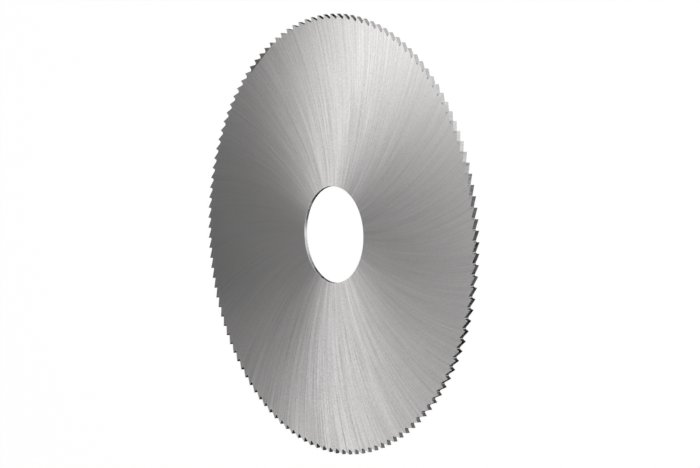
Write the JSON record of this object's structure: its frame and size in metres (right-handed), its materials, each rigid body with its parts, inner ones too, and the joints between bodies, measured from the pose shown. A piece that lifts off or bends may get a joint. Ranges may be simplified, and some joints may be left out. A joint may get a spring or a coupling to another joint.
{
  "type": "slitting saw",
  "caption": "Thin round metal slitting saw with fine triangular teeth, a plain arbor bore and hollow ground faces.",
  "frame": {"origin": "centre of the bore at mid-thickness", "axes": "+Z along the bore axis, +X through a tooth tip; the teeth cut counter-clockwise seen from +Z"},
  "size_m": [0.1, 0.1, 0.001],
  "materials": {
    "ground_steel": "face-ground tool steel with fine curved grinding marks fanning out from the bore"
  },
  "bodies": {
    "root": {"saw_disc": "ground_steel"}
  },
  "joints": []
}
